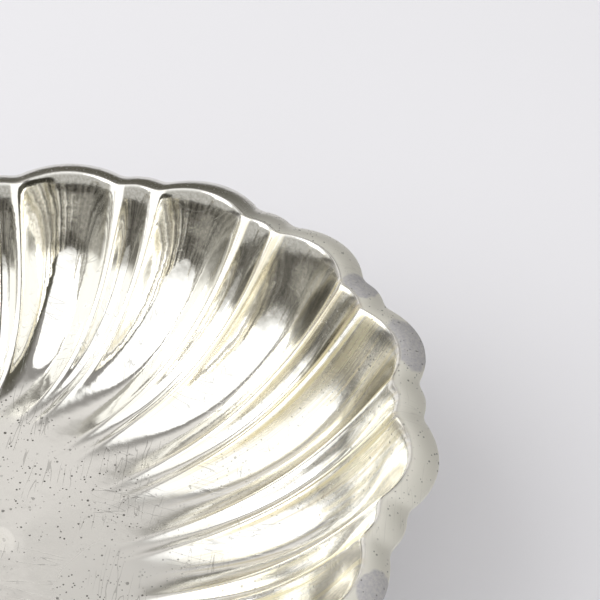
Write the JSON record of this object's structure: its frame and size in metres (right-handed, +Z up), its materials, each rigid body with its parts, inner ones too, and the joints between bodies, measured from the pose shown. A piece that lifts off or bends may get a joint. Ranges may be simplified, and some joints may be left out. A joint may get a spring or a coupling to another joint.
{
  "type": "sauce boat",
  "caption": "Fluted oval silver sauce boat with a scalloped flange, a spreading oval foot and a cast loop handle at the back",
  "frame": {"origin": "on the surface that it stands on, under the middle of the whole length and width", "axes": "+X towards the front edge that it pours from, away from the handle; +Y to the boat's left; +Z up"},
  "size_m": [0.1539, 0.0956, 0.0703],
  "materials": {
    "raised_silver": "polished silver plate, worn, with light yellow tarnish",
    "turned_silver": "polished silver plate, tarnished in the hollow",
    "spun_silver": "polished silver plate with light spinning marks",
    "drawn_wire": "polished silver plate, worn bright on top",
    "cast_silver": "polished cast silver plate, dark in the hollows"
  },
  "bodies": {
    "root": {"bowl": "raised_silver", "foot_collar": "turned_silver", "foot": "spun_silver", "foot_wire": "drawn_wire", "handle": "cast_silver", "thumb_leaf": "cast_silver", "handle_upper_mount": "cast_silver", "handle_lower_mount": "cast_silver"}
  },
  "joints": []
}
